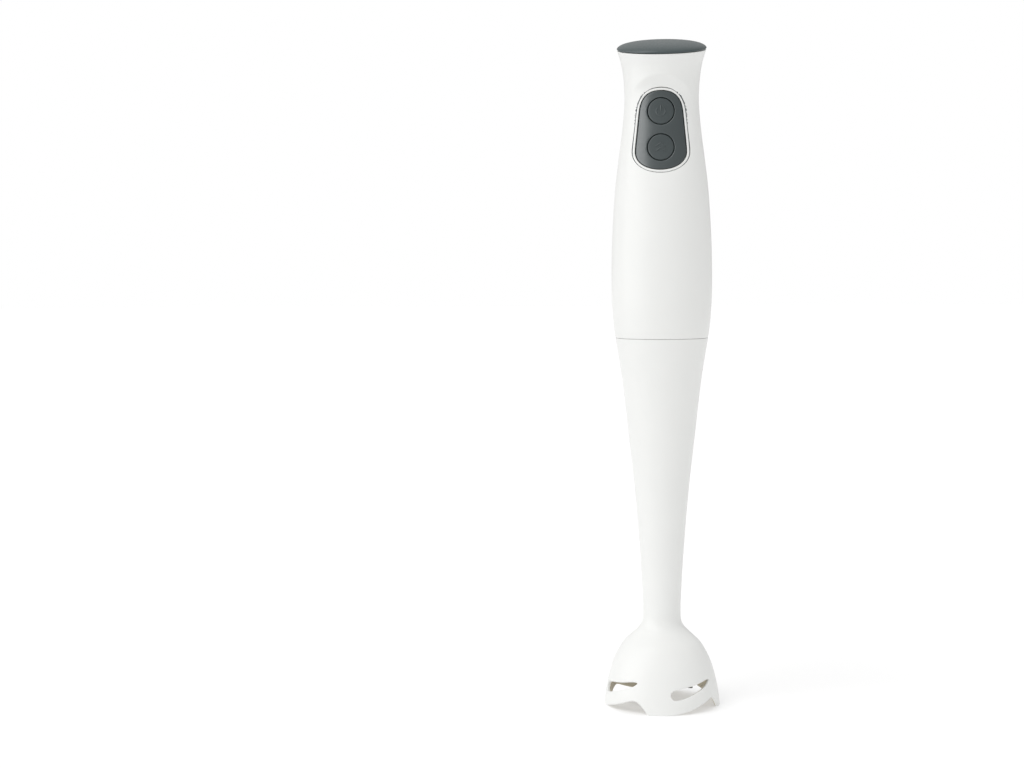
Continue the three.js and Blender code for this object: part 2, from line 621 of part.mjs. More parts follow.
piece('motor_mount', motorMount(), NATURAL_PLASTIC);
piece('motor_can', motorCan(), ZINC);
piece('magnet_left', magnet(180), FERRITE);
piece('magnet_right', magnet(0), FERRITE);
piece('lower_motor_bearing', bush(230.8, 235.3), BRONZE);
piece('brush_cap', brushCap(), BLACK_PLASTIC);
piece('upper_motor_bearing', bush(293.3, 299.6), BRONZE);
piece('brush_holder_left', brushHolder(-1), BRONZE);
piece('brush_holder_right', brushHolder(1), BRONZE);
piece('brush_left', brush(-1), CARBON);
piece('brush_right', brush(1), CARBON);
piece('motor_damper_lower', ring(MOTOR_R + GAP, 25.1, 236, 242, INNER_SIDES), RUBBER);
piece('motor_damper_upper', ring(MOTOR_R + GAP, 24.1, 270, 276, INNER_SIDES), RUBBER);

piece('chassis', chassis(), NATURAL_PLASTIC);
piece('switch_board', switchBoard(), BOARD_GREEN);
piece('speed_switch', microSwitch(SPEED_Z), BLACK_PLASTIC);
piece('turbo_switch', microSwitch(TURBO_Z), BLACK_PLASTIC);
piece('suppression_capacitor', box(-9, 9, BOARD_Y[1] + GAP, 7, 305, 318), YELLOW);
piece('rectifier', box(-9, -2, BOARD_Y[1] + GAP, 3.5, 324, 334), BLACK_PLASTIC);
piece('choke_coil', chokeCoil(), COPPER);
piece('cord_clamp', cordClamp(), NATURAL_PLASTIC);
piece('cord_clamp_screw_1', cordClampScrew(-CLAMP_SCREW_X), ZINC);
piece('cord_clamp_screw_2', cordClampScrew(CLAMP_SCREW_X), ZINC);
piece('cord_gland', cordGland(), GREY);
piece('motor_lead_left', motorLead(-1), RED);
piece('motor_lead_right', motorLead(1), BLACK_PLASTIC);
piece('speed_spring', returnSpring(SPEED_Z), STEEL);
piece('turbo_spring', returnSpring(TURBO_Z), STEEL);

piece('rotor_shaft', ring(0, SHAFT_R, 198.6, 299.3), STEEL);
piece('armature_core', armatureCore(), ZINC);
piece('armature_windings', armatureWindings(), COPPER);
piece('commutator', commutator(), COPPER);
piece('cooling_fan', coolingFan(), NATURAL_PLASTIC);
piece('drive_dog', driveDog(), BLACK_PLASTIC);

piece('speed_button', pushButton(SPEED_Z), GREY);
piece('turbo_button', pushButton(TURBO_Z), GREY);

export default blender;
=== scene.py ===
# Immersion blender: the visual model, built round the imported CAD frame.
# Shapes are worked out in millimetres, in the frame's axes, and turned into metres
# when a mesh is made. Azimuths are counted from the front, -Y, towards +X.
import json
import math

import bmesh
import bpy
from mathutils import Matrix, Vector
from mathutils.geometry import delaunay_2d_cdt
from mathutils.kdtree import KDTree

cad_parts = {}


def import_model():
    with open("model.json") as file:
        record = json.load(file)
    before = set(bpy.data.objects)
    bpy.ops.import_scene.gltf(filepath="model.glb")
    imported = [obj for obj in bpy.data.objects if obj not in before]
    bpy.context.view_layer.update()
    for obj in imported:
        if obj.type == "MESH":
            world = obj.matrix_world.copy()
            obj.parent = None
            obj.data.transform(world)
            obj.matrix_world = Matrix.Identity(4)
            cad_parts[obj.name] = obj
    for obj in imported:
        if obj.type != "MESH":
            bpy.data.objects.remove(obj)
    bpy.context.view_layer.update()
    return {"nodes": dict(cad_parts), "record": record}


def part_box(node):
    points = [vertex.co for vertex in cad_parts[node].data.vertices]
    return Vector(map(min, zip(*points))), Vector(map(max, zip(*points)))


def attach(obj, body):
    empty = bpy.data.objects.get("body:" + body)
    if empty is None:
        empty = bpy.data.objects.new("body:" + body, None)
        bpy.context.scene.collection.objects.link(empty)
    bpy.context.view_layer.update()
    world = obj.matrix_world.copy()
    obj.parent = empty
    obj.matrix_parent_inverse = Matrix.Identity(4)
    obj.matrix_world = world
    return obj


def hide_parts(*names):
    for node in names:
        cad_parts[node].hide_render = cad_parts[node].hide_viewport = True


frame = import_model()

MM = 0.001
TURN = 2 * math.pi
WELD = 2e-6  # metres; points closer than this are one
SOFT_EDGE = 0.00012  # metres; the bevel on the carried-over nodes

# ---------------------------------------------------------------- driving dimensions
LEAN_START_Z = 340
RIM_Z = 368
CROWN_Z = 373.3
LEAN = math.tan(math.radians(11.3))
SEAM_Z = 208
SEAM_GAP = 0.14
WALL = 2.4
GUARD_WALL = 2.3
ARC_R = 25  # radius at which the flat sheets of the shells are measured
HALF_ARC = ARC_R * math.pi / 2
SPLIT_Y = 0.08  # half the gap between the front and rear shells
SHELL_RIM = 0.3

HANDLE_OUTLINE = [
    (25.9, 208.3), (26.9, 215), (27.8, 227), (28.1, 243), (27.6, 265), (26.1, 289),
    (24.2, 306), (22.0, 323), (20.7, 338), (21.0, 350), (22.4, 360), (24.7, 368),
]
SHAFT_OUTLINE = [
    (32.8, 0), (31.8, 8), (30.4, 15), (28.3, 22.5), (25.4, 29.2), (21.7, 35.2),
    (16.9, 39.9), (12.6, 44.2), (10.9, 48), (10.6, 53), (10.8, 62), (12.3, 87.3),
    (15.1, 121.5), (18.5, 152), (22.0, 182.7), (25.9, 207.9),
]

# The scoop for the thumb round the button panel, as (height, value)
SCOOP_HALF_WIDTH = [
    (284, 21.5), (290, 20), (300, 18.2), (310, 17.6), (325, 17.6), (335, 17.6),
    (341, 17), (346, 14.4), (350, 9.6), (351.8, 5.2), (352.8, 0.5),
]
SCOOP_DEPTH = [
    (284, 0), (292, 0.4), (300, 1), (308, 1.5), (318, 1.85), (330, 2.1), (341, 2.45),
    (345.5, 2.5), (348, 2.15), (350.2, 1.2), (351.8, 0.45), (352.8, 0),
]
CREASE = 0.06  # softness of the scoop's edge

# Buttons and panel
SPEED_Z = 333
TURBO_Z = 313.2
BUTTON_R = 7.1
HOLE_R = 7.5
BEZEL_W = 1.4
BEZEL_GAP = 0.2  # the groove between the trim ring and the shell
PANEL_GAP = 0.3
PANEL_DEPTH = 0.3
PANEL_T = 2.0
PANEL_TOP_Z = 344.2
SHOULDER_Z = 333
HIP_Z = 311
PANEL_FOOT_Z = 301
SHOULDER_HALF = 11.85
HIP_HALF = 14.05
DISH = 0.4  # how far the middle of a button's face is sunk
FLANGE_R = 8.3  # of the buttons, behind the panel
FLANGE_T = 0.8
STEM_R = 2.2
STEM_END_R = 0.01
MIDDLE_R = 0.001  # a ring this small is welded to one point
SPRING_GAP = 0.4

# Cord inlet, at the back
GLAND_Z = 345
GLAND_HOLE_R = 4.5

# Spigot's O-ring
SEAL_R = 15.95
SEAL_Z = 203.5
SEAL_HALF_W = 0.75
SEAL_HALF_H = 0.8

# Guard: one quarter of its edge and one slot, as (azimuth in degrees, height)
QUARTERS = 4
QUARTER_START = -12.5
GUARD_TURN = 1.25  # from the buttons' side to the start of the first quarter
GUARD_TOP_Z = 20.5
BELL_ROOF_Z = 39.4  # of the hollow inside
GUARD_COLUMNS = 42  # in each quarter
NOTCH = [
    (10, 0), (19, 0.9), (28, 1.9), (38, 3.3), (48, 5.1), (55, 6.4), (61, 7),
    (66, 6), (71, 3.4), (76, 0),
]
SLOT = [
    (9.2, 10.8), (11, 13), (17.4, 14), (39, 15.6), (53, 16.9), (60, 17.2),
    (63, 16.8), (57, 14.6), (47, 12.7), (33.5, 10.5), (22, 8.8), (13, 8.4),
]

# Blade and hub
BLADE_AZIMUTH = 52
BLADE_Z = 13.4
BLADE_T = 1.2
BLADE_ROOT = 4.2
BLADE_SPAN = 17.6
BLADE_TILTS = (-7, 12)  # degrees, up from the plate
TILT_FROM = 6  # distance from the axis at which the wings bend
SPINDLE_HOLE_R = 2.65


# ---------------------------------------------------------------- lines and outlines
def catmull(p0, p1, p2, p3, t):
    """A point between p1 and p2 on a Catmull-Rom spline."""
    v0, v1 = (p2 - p0) / 2, (p3 - p1) / 2
    cubic = (p1 * 2 - p2 * 2 + v0 + v1) * t ** 3
    return cubic + (p2 * 3 - p1 * 3 - v0 * 2 - v1) * t * t + v0 * t + p1


def smooth_curve(keys, closed=False, steps=12):
    """Points on a smooth curve through the keys."""
    count = len(keys)

    def key(i):
        return Vector(keys[i % count] if closed else keys[min(max(i, 0), count - 1)])

    points = [
        catmull(key(i - 1), key(i), key(i + 1), key(i + 2), s / steps)
        for i in range(count if closed else count - 1)
        for s in range(steps)
    ]
    return points if closed else points + [key(count - 1)]


def evenly(points, gap, closed=False):
    """Points about `gap` apart along a line."""
    line = list(points) + ([points[0]] if closed else [])
    lengths = [(b - a).length for a, b in zip(line, line[1:])]
    count = max(2, round(sum(lengths) / gap))
    result, i, passed = [], 0, 0.0
    for k in range(count if closed else count + 1):
        target = sum(lengths) * k / count
        while i < len(lengths) - 1 and passed + lengths[i] < target:
            passed += lengths[i]
            i += 1
        result.append(line[i].lerp(line[i + 1], min(1, (target - passed) / lengths[i])))
    return result


def normals(points, closed):
    """Left-hand normals of a line at its points, longer where it bends, as in a mitre."""
    count = len(points)
    result = []
    for i, p in enumerate(points):
        before = points[i - 1] if closed or i else p
        after = points[(i + 1) % count] if closed or i < count - 1 else p
        a = (p - before).normalized() if p != before else (after - p).normalized()
        b = (after - p).normalized() if p != after else a
        middle = (a + b).normalized()
        stretch = 1 / max(0.5, middle.dot(a))
        result.append(Vector((-middle.y, middle.x)) * stretch)
    return result


def offset(points, distance, closed=False):
    """The line moved to its left."""
    return [p + n * distance for p, n in zip(points, normals(points, closed))]


def relaxed(points, passes, closed=False):
    """The line with its corners eased; the ends of an open line stay."""
    for _ in range(passes):
        eased = [
            (points[i - 1] + p * 2 + points[(i + 1) % len(points)]) / 4
            for i, p in enumerate(points)
        ]
        if not closed:
            eased[0], eased[-1] = points[0], points[-1]
        points = eased
    return points


def rounded(corners, radius=0.3, closed=True, steps=4):
    """A profile with an arc at each corner; a corner may give its own radius."""
    result = []
    count = len(corners)
    for i, corner in enumerate(corners):
        p = Vector(corner[:2])
        if not closed and i in (0, count - 1):
            result.append(p)
            continue
        a = Vector(corners[i - 1][:2]) - p
        b = Vector(corners[(i + 1) % count][:2]) - p
        reach = min(corner[2] if len(corner) > 2 else radius, a.length * 0.45, b.length * 0.45)
        start, end = p + a.normalized() * reach, p + b.normalized() * reach
        for s in range(steps + 1):
            t = s / steps
            result.append(start.lerp(p, t).lerp(p.lerp(end, t), t))
    return result


def circle(x, z, r, count=56):
    return [Vector((x + r * math.sin(TURN * i / count), z + r * math.cos(TURN * i / count)))
            for i in range(count)]


def looked_up(table, z):
    """The value at height z of a list of (height, value) pairs, smoothly between them."""
    if z <= table[0][0]:
        return table[0][1]
    for i in range(1, len(table)):
        (z0, v0), (z1, v1) = table[i - 1], table[i]
        if z <= z1:
            slope0 = slope(table, i - 1) * (z1 - z0)
            slope1 = slope(table, i) * (z1 - z0)
            t = (z - z0) / (z1 - z0)
            ends = v0 * (1 + 2 * t) * (1 - t) ** 2 + v1 * t * t * (3 - 2 * t)
            return ends + slope0 * t * (1 - t) ** 2 - slope1 * t * t * (1 - t)
    return table[-1][1]


def slope(table, i):
    """The slope of a table at entry i, from its neighbours."""
    (z0, v0), (z1, v1) = table[max(i - 1, 0)], table[min(i + 1, len(table) - 1)]
    return (v1 - v0) / (z1 - z0)


FOOT_R = SHAFT_OUTLINE[0][0]
QUARTER_LEFT = FOOT_R * math.radians(QUARTER_START)
QUARTER_WIDTH = FOOT_R * TURN / QUARTERS
HANDLE = [(p.y, p.x) for p in smooth_curve(HANDLE_OUTLINE, steps=6)]
SHAFT = [(p.y, p.x) for p in smooth_curve(SHAFT_OUTLINE, steps=6)]


def handle_radius(z):
    return looked_up(HANDLE, z)


def smoothstep(x, low, high):
    t = min(1, max(0, (x - low) / (high - low)))
    return t * t * (3 - 2 * t)


def leaned(p):
    """Leans everything above LEAN_START_Z, so that the rim drops towards the front."""
    return Vector((p.x, p.y, p.z + smoothstep(p.z, LEAN_START_Z, RIM_Z) * LEAN * p.y))


def scoop(x, z):
    """Depth of the thumb scoop below the handle's outline."""
    if not SCOOP_DEPTH[0][0] < z < SCOOP_DEPTH[-1][0]:
        return 0
    share = 1 - (x / looked_up(SCOOP_HALF_WIDTH, z)) ** 2
    bare = looked_up(SCOOP_DEPTH, z) * share
    return max(0, (bare + math.sqrt(bare * bare + CREASE * CREASE) - CREASE) / 2)


def around(r, azimuth, z):
    return Vector((r * math.sin(azimuth), -r * math.cos(azimuth), z))


def on_front(x, z, depth):
    """A point at x and z on the scooped front of the handle, `depth` below it."""
    r = handle_radius(z) - scoop(x, z) - depth
    return Vector((x, -math.sqrt(max(0, r * r - x * x)), z))


# ---------------------------------------------------------------- meshes
def vertices(bm, points):
    return [bm.verts.new(p * MM) for p in points]


def bridge(bm, rows):
    """Joins closed rows of vertices, each to the next one."""
    size = len(rows[0])
    for a, b in zip(rows, rows[1:]):
        for i in range(size):
            j = (i + 1) % size
            bm.faces.new((a[i], b[i], b[j], a[j]))


def capped(bm, rows):
    """Joins closed rows of vertices and closes both ends."""
    bridge(bm, rows)
    bm.faces.new(rows[0])
    bm.faces.new(reversed(rows[-1]))


def lathe(bm, profile, columns=96, place=around, start=0.0):
    """Turns (radius, height) points once about Z."""
    rows = []
    for k in range(columns):
        azimuth = start + TURN * k / columns
        rows.append(vertices(bm, [place(p[0], azimuth, p[1]) for p in profile]))
    for k, a in enumerate(rows):
        b = rows[(k + 1) % columns]
        for i in range(len(profile) - 1):
            bm.faces.new((a[i], b[i], b[i + 1], a[i + 1]))


def ring_profile(corners, radius=0.3, steps=4):
    """A closed profile with rounded corners, for a ring."""
    points = rounded(corners, radius, True, steps)
    return points + [points[0]]


def tube(bm, path, section, place, closed_path):
    """Sweeps a section, a closed list of (side, depth), along a path of points."""
    rows = []
    side = normals(path, closed_path)
    for p, n in zip(path, side):
        rows.append(vertices(bm, [place(p + n * across, depth) for across, depth in section]))
    if closed_path:
        bridge(bm, rows + rows[:1])
    else:
        capped(bm, rows)


def smooth_sharp(mesh, angle=35):
    for polygon in mesh.polygons:
        polygon.use_smooth = True
    mesh.set_sharp_from_angle(angle=math.radians(angle))


def piece(name, bm, body, slot, replaced=(), material=None):
    """Makes the mesh an object that rides on a body and stands for CAD nodes."""
    bmesh.ops.remove_doubles(bm, verts=bm.verts, dist=WELD)
    bmesh.ops.dissolve_degenerate(bm, edges=bm.edges, dist=WELD)
    bmesh.ops.recalc_face_normals(bm, faces=bm.faces)
    mesh = bpy.data.meshes.new(name)
    bm.to_mesh(mesh)
    bm.free()
    smooth_sharp(mesh)
    obj = bpy.data.objects.new(name, mesh)
    bpy.context.scene.collection.objects.link(obj)
    mesh.materials.append(material or MATERIALS[slot])
    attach(obj, body)
    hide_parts(*replaced)
    return obj


# ---------------------------------------------------------------- walls with openings
RIM_STEPS = 4


def rim_lines(edge, radius, closed=True):
    """A rounded edge as lines of (points, depth, closed). The wall is on the edge's left."""
    lines = []
    for k in range(RIM_STEPS + 1):
        angle = k * math.pi / 2 / RIM_STEPS
        inward = offset(edge, radius * (1 - math.cos(angle)), closed)
        lines.append((inward, radius * (1 - math.sin(angle)), closed))
    return lines


def inside(polygon, p):
    """True if the point is within the closed polygon."""
    hit = False
    for a, b in zip(polygon, polygon[1:] + polygon[:1]):
        if (a.y > p.y) != (b.y > p.y) and p.x < a.x + (b.x - a.x) * (p.y - a.y) / (b.y - a.y):
            hit = not hit
    return hit


def triangulated(lines, border, holes, grid, clear):
    """Triangles over the lines and the grid points that stand clear of them."""
    points, depths, edges = [], [], []
    for line, depth, closed in lines:
        first, size = len(points), len(line)
        points += line
        depths += [depth] * size
        edges += [(first + i, first + i + 1) for i in range(size - 1)]
        if closed:
            edges.append((first + size - 1, first))
    tree = KDTree(len(points))
    for i, p in enumerate(points):
        tree.insert((p.x, p.y, 0), i)
    tree.balance()

    def in_wall(p):
        return inside(border, p) and not any(inside(hole, p) for hole in holes)

    kept = [p for p in grid if tree.find((p.x, p.y, 0))[2] > clear and in_wall(p)]
    points += kept
    depths += [0] * len(kept)
    spots, _, faces, source, _, _ = delaunay_2d_cdt(points, edges, [], 0, 1e-4)
    depth_at = [max((depths[i] for i in ids), default=0) for ids in source]
    middles = [(spots[f[0]] + spots[f[1]] + spots[f[2]]) / 3 for f in faces]
    return spots, depth_at, [f for f, m in zip(faces, middles) if in_wall(m)]


def wall(bm, sheet, place, thickness, is_seam=lambda a, b: False):
    """Outer and inner skins from one sheet, joined along its edges except at seams."""
    spots, depth_at, faces = sheet
    used = sorted({i for face in faces for i in face})
    outer = {i: bm.verts.new(place(*spots[i], depth_at[i]) * MM) for i in used}
    inner = {i: bm.verts.new(place(*spots[i], thickness - depth_at[i]) * MM) for i in used}
    count = {}
    for face in faces:
        bm.faces.new([outer[i] for i in face])
        bm.faces.new([inner[i] for i in reversed(face)])
        for a, b in zip(face, face[1:] + face[:1]):
            count[(a, b)] = count.get((a, b), 0) + 1
    for a, b in count:
        if (b, a) not in count and not is_seam(spots[a], spots[b]):
            bm.faces.new((outer[b], outer[a], inner[a], inner[b]))


def grid_points(x_from, x_to, x_gap, heights):
    """Points in staggered rows at the given heights."""
    count = max(1, round((x_to - x_from) / x_gap))
    step = (x_to - x_from) / count
    return [
        Vector((x_from + step * (i + 0.5 * (row % 2)), z))
        for row, z in enumerate(heights)
        for i in range(count + 1)
    ]


def steps_between(low, high, gap):
    count = max(1, round((high - low) / gap))
    return [low + (high - low) * i / count for i in range(count + 1)]


# ---------------------------------------------------------------- materials
def start_material(name):
    """A node material with its Principled shader and object coordinates."""
    material = bpy.data.materials.new(name)
    material.use_nodes = True
    tree = material.node_tree
    shader = tree.nodes["Principled BSDF"]
    coordinates = tree.nodes.new("ShaderNodeTexCoord").outputs["Object"]
    return material, tree, shader, coordinates


def node(tree, kind, inputs=None, **settings):
    """A node with its settings, and its inputs linked or filled in."""
    made = tree.nodes.new(kind)
    for key, value in settings.items():
        setattr(made, key, value)
    for key, value in (inputs or {}).items():
        if isinstance(value, bpy.types.NodeSocket):
            tree.links.new(value, made.inputs[key])
        else:
            made.inputs[key].default_value = value
    return made


def noise(tree, where, size, detail=2.0, stretch=(1, 1, 1)):
    """Noise whose features are about `size` metres across."""
    scaled = node(tree, "ShaderNodeMapping", {"Vector": where, "Scale": stretch})
    inputs = {"Vector": scaled.outputs[0], "Scale": 1 / size, "Detail": detail}
    return node(tree, "ShaderNodeTexNoise", inputs).outputs["Fac"]


def spread(tree, value, low, high, start=0.3, end=0.7):
    """The value between start and end, stretched to low and high."""
    inputs = {0: value, 1: start, 2: end, 3: low, 4: high}
    return node(tree, "ShaderNodeMapRange", inputs).outputs[0]


def shade(colour, factor):
    return tuple(min(1, c * factor) for c in colour) + (1,)


def blended(tree, factor, a, b):
    """Colour a to colour b by a factor."""
    mix = node(tree, "ShaderNodeMix", data_type="RGBA")
    tree.links.new(factor, mix.inputs[0])
    for socket, value in ((mix.inputs[6], a), (mix.inputs[7], b)):
        if isinstance(value, bpy.types.NodeSocket):
            tree.links.new(value, socket)
        else:
            socket.default_value = value
    return mix.outputs[2]


def bumped(tree, height, distance, strength=1.0, normal=None):
    inputs = {"Height": height, "Distance": distance, "Strength": strength}
    if normal:
        inputs["Normal"] = normal
    return node(tree, "ShaderNodeBump", inputs).outputs[0]


def feed(tree, shader, **inputs):
    for key, value in inputs.items():
        tree.links.new(value, shader.inputs[key.replace("_", " ")])


def mottled(tree, value, colour, mottle):
    """The colour, a little darker and lighter as the value goes from low to high."""
    darker, lighter = shade(colour, 1 - mottle), shade(colour, 1 + mottle)
    return blended(tree, spread(tree, value, 0, 1), darker, lighter)


def plastic(name, colour, roughness, grain, grain_depth, mottle=0.02, sheen=0.0, specular=0.5):
    """Moulded plastic: faint flow mottling, uneven gloss and a fine eroded grain."""
    material, tree, shader, where = start_material(name)
    flow = noise(tree, where, 0.03, 3)
    specks = noise(tree, where, 0.0011, 2)
    tone = mottled(tree, flow, colour, mottle)
    gloss = spread(tree, specks, roughness * 0.88, roughness * 1.14)
    mould = bumped(tree, noise(tree, where, 0.012, 1), 0.00006, 0.5)
    skin = bumped(tree, noise(tree, where, grain, 2), grain_depth, 1, mould)
    feed(tree, shader, Base_Color=tone, Roughness=gloss, Normal=skin)
    shader.inputs["IOR"].default_value = 1.5
    shader.inputs["Specular IOR Level"].default_value = specular
    shader.inputs["Sheen Weight"].default_value = sheen
    return material


def metal(name, colour, roughness, stretch, line=0.0004, depth=0.000004, mottle=0.05):
    """Worked metal: tool lines along one way, and a little tarnish."""
    material, tree, shader, where = start_material(name)
    lines = noise(tree, where, line, 3, stretch)
    stain = noise(tree, where, 0.009, 4)
    tone = mottled(tree, stain, colour, mottle)
    gloss = spread(tree, lines, roughness * 0.8, roughness * 1.25)
    worked = bumped(tree, lines, depth)
    feed(tree, shader, Base_Color=tone, Roughness=gloss, Normal=worked)
    shader.inputs["Metallic"].default_value = 1
    return material


def sintered(name, colour, roughness, metallic, pore=0.0003):
    """Pressed powder: pores, dark specks and an uneven face."""
    material, tree, shader, where = start_material(name)
    cells = node(tree, "ShaderNodeTexVoronoi", {"Vector": where, "Scale": 1 / pore})
    pores = spread(tree, cells.outputs["Distance"], 0, 1, 0.1, 0.5)
    tone = blended(tree, pores, shade(colour, 0.6), shade(colour, 1.08))
    gloss = spread(tree, noise(tree, where, 0.002, 3), roughness * 0.85, roughness * 1.15)
    feed(tree, shader, Base_Color=tone, Roughness=gloss, Normal=bumped(tree, pores, 0.00002))
    shader.inputs["Metallic"].default_value = metallic
    return material


def rubber(name, colour):
    """Moulded rubber: matt, with bloom in patches and a fine flash texture."""
    material, tree, shader, where = start_material(name)
    bloom = noise(tree, where, 0.004, 5)
    tone = blended(tree, spread(tree, bloom, 0, 1, 0.4, 0.7), shade(colour, 0.8), shade(colour, 1.9))
    gloss = spread(tree, bloom, 0.62, 0.82)
    skin = bumped(tree, noise(tree, where, 0.00025, 3), 0.00001)
    feed(tree, shader, Base_Color=tone, Roughness=gloss, Normal=skin)
    shader.inputs["Sheen Weight"].default_value = 0.15
    return material


def wound_copper(name, colour):
    """Enamelled wire laid side by side round the axis."""
    material, tree, shader, where = start_material(name)
    turned = node(tree, "ShaderNodeTexGradient", {"Vector": where}, gradient_type="RADIAL")
    many = node(tree, "ShaderNodeMath", {0: turned.outputs["Fac"], 1: 900.0}, operation="MULTIPLY")
    wires = node(tree, "ShaderNodeMath", {0: many.outputs[0]}, operation="SINE").outputs[0]
    lacquer = noise(tree, where, 0.003, 3)
    tone = blended(tree, spread(tree, wires, 0, 1, -1, 1), shade(colour, 0.45), shade(colour, 1.1))
    stained = blended(tree, spread(tree, lacquer, 0, 0.35), tone, shade(colour, 0.6))
    feed(tree, shader, Base_Color=stained, Roughness=spread(tree, lacquer, 0.25, 0.4))
    feed(tree, shader, Normal=bumped(tree, wires, 0.00008))
    shader.inputs["Metallic"].default_value = 1
    return material


def circuit_board(name, colour):
    """Solder mask with buried tracks that show as raised, lighter lines."""
    material, tree, shader, where = start_material(name)
    turned = node(tree, "ShaderNodeMapping", {"Vector": where, "Rotation": (math.pi / 2, 0, 0)})
    bricks = {"Vector": turned.outputs[0], "Scale": 260.0, "Mortar Size": 0.07, "Mortar Smooth": 0.3}
    tracks = node(tree, "ShaderNodeTexBrick", bricks).outputs["Fac"]
    tone = blended(tree, tracks, shade(colour, 0.85), shade(colour, 1.8))
    gloss = spread(tree, noise(tree, where, 0.002, 2), 0.3, 0.42)
    feed(tree, shader, Base_Color=tone, Roughness=gloss, Normal=bumped(tree, tracks, 0.00004))
    return material


def laminated(name, colour):
    """A stack of punched steel sheets, each with its dark edge."""
    material, tree, shader, where = start_material(name)
    inputs = {"Vector": where, "Scale": 640.0, "Distortion": 0.1}
    sheets = node(tree, "ShaderNodeTexWave", inputs, bands_direction="Z").outputs["Fac"]
    tone = blended(tree, spread(tree, sheets, 0, 1, 0, 0.35), shade(colour, 0.35), shade(colour, 1))
    gloss = spread(tree, noise(tree, where, 0.001, 2), 0.32, 0.5)
    feed(tree, shader, Base_Color=tone, Roughness=gloss, Normal=bumped(tree, sheets, 0.00004))
    shader.inputs["Metallic"].default_value = 1
    return material


TURNED = (0.02, 0.02, 1)  # tool lines that run round the axis
MATERIALS = {
    "white_plastic": plastic("white_plastic", (0.84, 0.845, 0.828), 0.36, 0.00045, 0.000003,
                             mottle=0.008, specular=0.2),
    "grey_plastic": plastic("grey_plastic", (0.05, 0.069, 0.071), 0.4, 0.0003, 0.000012, 0.05),
    "soft_grey": plastic("soft_grey", (0.042, 0.055, 0.057), 0.4, 0.00028, 0.000014, 0.05, 0.1),
    "black_plastic": plastic("black_plastic", (0.018, 0.018, 0.019), 0.45, 0.0003, 0.000012, 0.1),
    "natural_plastic": plastic("natural_plastic", (0.72, 0.69, 0.6), 0.48, 0.0004, 0.00001, 0.05),
    "capacitor_yellow": plastic("capacitor_yellow", (0.65, 0.45, 0.05), 0.4, 0.0008, 0.00001, 0.08),
    "lead_red": plastic("lead_red", (0.45, 0.04, 0.03), 0.45, 0.0006, 0.00001, 0.08),
    "rubber": rubber("rubber", (0.02, 0.02, 0.021)),
    "stainless": metal("stainless", (0.6, 0.61, 0.62), 0.24, TURNED),
    "plated_steel": metal("plated_steel", (0.5, 0.51, 0.52), 0.36, (1, 1, 1), 0.0015, 0.00001, 0.12),
    "bronze": sintered("bronze", (0.55, 0.36, 0.19), 0.42, 1),
    "copper": wound_copper("copper", (0.7, 0.3, 0.15)),
    "ferrite": sintered("ferrite", (0.05, 0.05, 0.055), 0.7, 0, 0.0005),
    "carbon": sintered("carbon", (0.03, 0.03, 0.032), 0.55, 0, 0.0002),
    "board_green": circuit_board("board_green", (0.03, 0.16, 0.07)),
}
LAMINATED = laminated("laminated_steel", (0.42, 0.42, 0.43))
# Inside of the bell: a warm tint, and darker than the white plastic as painted shade for the
# shadowed hollow.
BELL_TINT_AND_SHADE = plastic("bell_inside_tint_and_shade", (0.64, 0.59, 0.47), 0.5, 0.0004, 0.00001, 0.05)
# The blade's steel: a darker copy of the stainless, painted shade for the blade's place inside the
# bell.
SHADED_BLADE_STEEL = metal("blade_steel_with_painted_shade", (0.3, 0.305, 0.31), 0.3, (1, 1, 1), 0.0006, 0.000003, 0.1)
PANEL_GREY = plastic("panel_grey", (0.024, 0.037, 0.039), 0.34, 0.0003, 0.000008, 0.05, specular=1)


# ---------------------------------------------------------------- blending shaft
def on_shaft(z, azimuth, depth):
    """A point `depth` below the shaft's outline, measured square to it."""
    rise = (looked_up(SHAFT, z + 0.05) - looked_up(SHAFT, z - 0.05)) / 0.1
    across = Vector((1, -rise)).normalized()
    return around(looked_up(SHAFT, z) - across.x * depth, azimuth, z - across.y * depth)


def on_guard(arc, z, depth):
    """A point on the guard; arc is the distance round it at its foot."""
    p = on_shaft(z, arc / FOOT_R + math.radians(GUARD_TURN), depth)
    return Vector((p.x, p.y, max(0, p.z)))


def guard_sheet():
    """One quarter of the guard as a flat sheet with its foot, notch and slot."""
    right = QUARTER_LEFT + QUARTER_WIDTH
    notch = smooth_curve([(FOOT_R * math.radians(a), z) for a, z in NOTCH])
    foot = relaxed(evenly([Vector((QUARTER_LEFT, 0)), *notch, Vector((right, 0))], 0.7), 2)
    slot_keys = [(FOOT_R * math.radians(a), z) for a, z in SLOT]
    slot = relaxed(evenly(smooth_curve(slot_keys, True), 0.6, True), 2, True)
    heights = steps_between(0, GUARD_TOP_Z, 1.2)
    columns = steps_between(QUARTER_LEFT, right, QUARTER_WIDTH / GUARD_COLUMNS)
    sides = [[Vector((x, z)) for z in heights] for x in (QUARTER_LEFT, right)]
    top = [Vector((x, GUARD_TOP_Z)) for x in columns]
    lines = rim_lines(foot, 0.6, False) + rim_lines(slot, 0.6)
    lines += [(line, 0, False) for line in (*sides, top)]
    border = foot + [top[-1], top[0]]
    return triangulated(lines, border, [slot], grid_points(QUARTER_LEFT, right, 1.2, heights), 0.6)


def guard_seam(a, b):
    """True for an edge of the quarter's sheet that meets another quarter or the tube."""
    low, high = sorted((a.x, b.x))
    beside = high < QUARTER_LEFT + 0.01 or low > QUARTER_LEFT + QUARTER_WIDTH - 0.01
    return min(a.y, b.y) > GUARD_TOP_Z - 0.01 or beside


